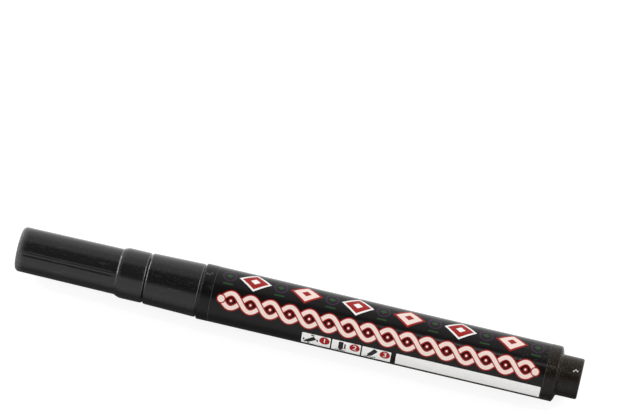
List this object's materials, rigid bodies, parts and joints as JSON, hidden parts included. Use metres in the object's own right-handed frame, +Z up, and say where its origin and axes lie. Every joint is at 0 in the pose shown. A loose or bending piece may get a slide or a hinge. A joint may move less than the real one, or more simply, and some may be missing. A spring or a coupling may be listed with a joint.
{
  "type": "liquid chalk marker",
  "caption": "Capped liquid chalk marker: stepped cap with inner seal, tapered collar, labelled barrel, press-in nib on a sprung valve, and stepped tail plug.",
  "frame": {"origin": "on the centre line at the middle of the barrel, where a hand or a pen loop holds it", "axes": "+X along the marker from the cap's closed end to the tail, +Z up"},
  "size_m": [0.1379, 0.0134, 0.0136],
  "materials": {
    "cap_black": "satin moulded black",
    "collar_black": "satin moulded black",
    "barrel_black": "matt moulded black",
    "tail_black": "matt moulded black",
    "label_film": "printed film, satin",
    "nib_felt": "pressed felt",
    "seal_white": "soft translucent white",
    "valve_white": "natural white moulded",
    "spring_steel": "drawn stainless wire",
    "ball_steel": "polished steel"
  },
  "bodies": {
    "barrel": {"barrel": "barrel_black", "barrel_label": "label_film", "front_section": "collar_black", "valve_body": "valve_white", "spring_retainer": "valve_white", "valve_spring": "spring_steel", "tail_plug": "tail_black"},
    "cap": {"cap_shell": "cap_black", "cap_seal": "seal_white"},
    "nib_unit": {"nib": "nib_felt", "valve_plunger": "valve_white"},
    "ball": {"mixing_ball": "ball_steel"}
  },
  "joints": [
    {"name": "cap_pull", "type": "slide", "parent": "barrel", "child": "cap", "axis": [-1, 0, 0], "range_m": [0, 0.04]},
    {"name": "nib_press", "type": "slide", "parent": "barrel", "child": "nib_unit", "axis": [1, 0, 0], "range_m": [0, 0.002], "stiffness_N_per_m": 1000, "springref_m": -0.0015, "deforming": ["valve_spring"]},
    {"name": "ball_roll", "type": "slide", "parent": "barrel", "child": "ball", "axis": [-1, 0, 0], "range_m": [0, 0.0573]}
  ]
}
